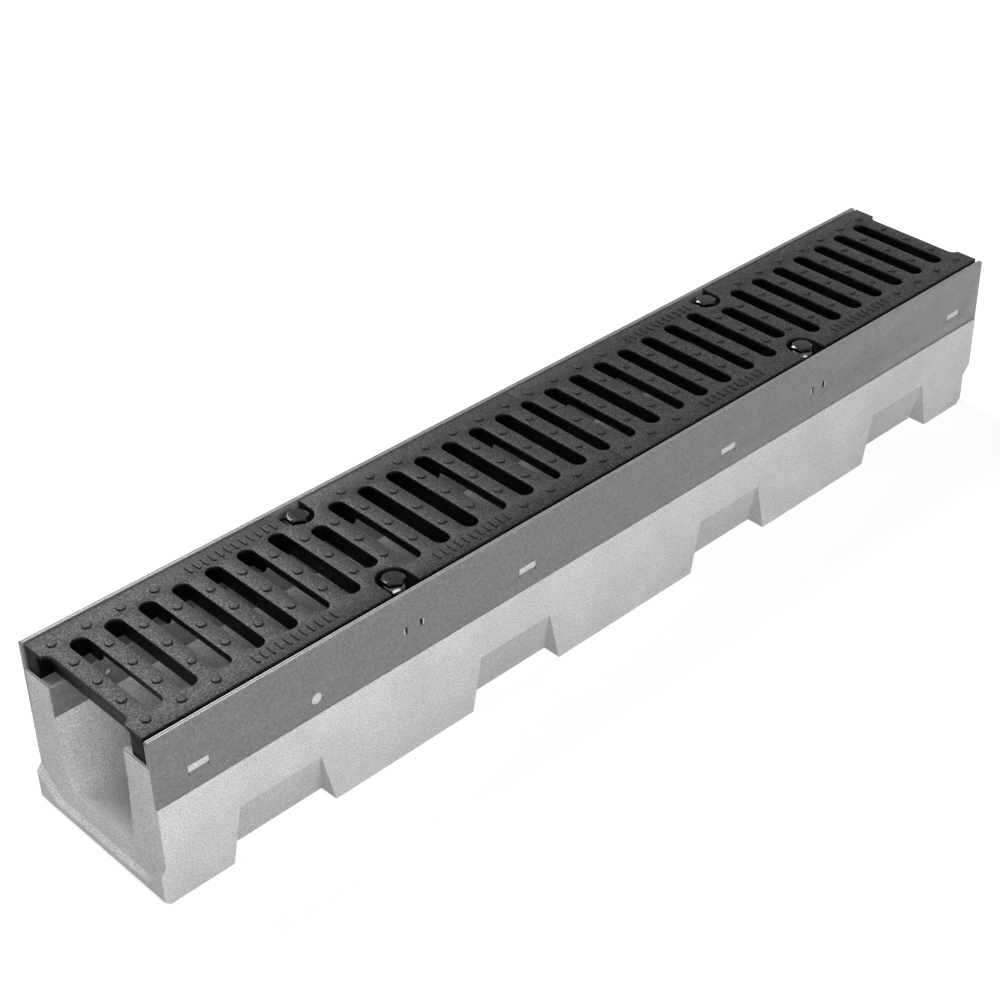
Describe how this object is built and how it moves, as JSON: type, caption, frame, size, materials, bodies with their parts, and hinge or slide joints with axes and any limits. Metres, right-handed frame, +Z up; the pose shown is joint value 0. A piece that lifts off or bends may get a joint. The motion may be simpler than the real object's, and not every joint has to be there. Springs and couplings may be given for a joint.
{
  "type": "channel drain",
  "caption": "Straight concrete drainage channel with a U-shaped bore, steel edge rails and bolted slotted cast iron gratings, tongue and groove ends.",
  "frame": {"origin": "centre of the flat underside, halfway along the concrete body without its tongue", "axes": "+X along the run from the tongue end to the groove end, +Y to the back long side, +Z up to the grating"},
  "size_m": [1.005, 0.165, 0.1612],
  "materials": {
    "concrete": "matte",
    "rail_steel": "satin",
    "cast_iron": "matte",
    "bolt_steel": "satin",
    "cage_steel": "satin"
  },
  "bodies": {
    "root": {"channel_body": "concrete", "edge_rail_front": "rail_steel", "edge_rail_back": "rail_steel", "grating_left": "cast_iron", "grating_right": "cast_iron", "bolt_front_left": "bolt_steel", "washer_front_left": "bolt_steel", "nut_front_left": "bolt_steel", "nut_cage_front_left": "cage_steel", "bolt_front_right": "bolt_steel", "washer_front_right": "bolt_steel", "nut_front_right": "bolt_steel", "nut_cage_front_right": "cage_steel", "bolt_back_left": "bolt_steel", "washer_back_left": "bolt_steel", "nut_back_left": "bolt_steel", "nut_cage_back_left": "cage_steel", "bolt_back_right": "bolt_steel", "washer_back_right": "bolt_steel", "nut_back_right": "bolt_steel", "nut_cage_back_right": "cage_steel"}
  },
  "joints": []
}
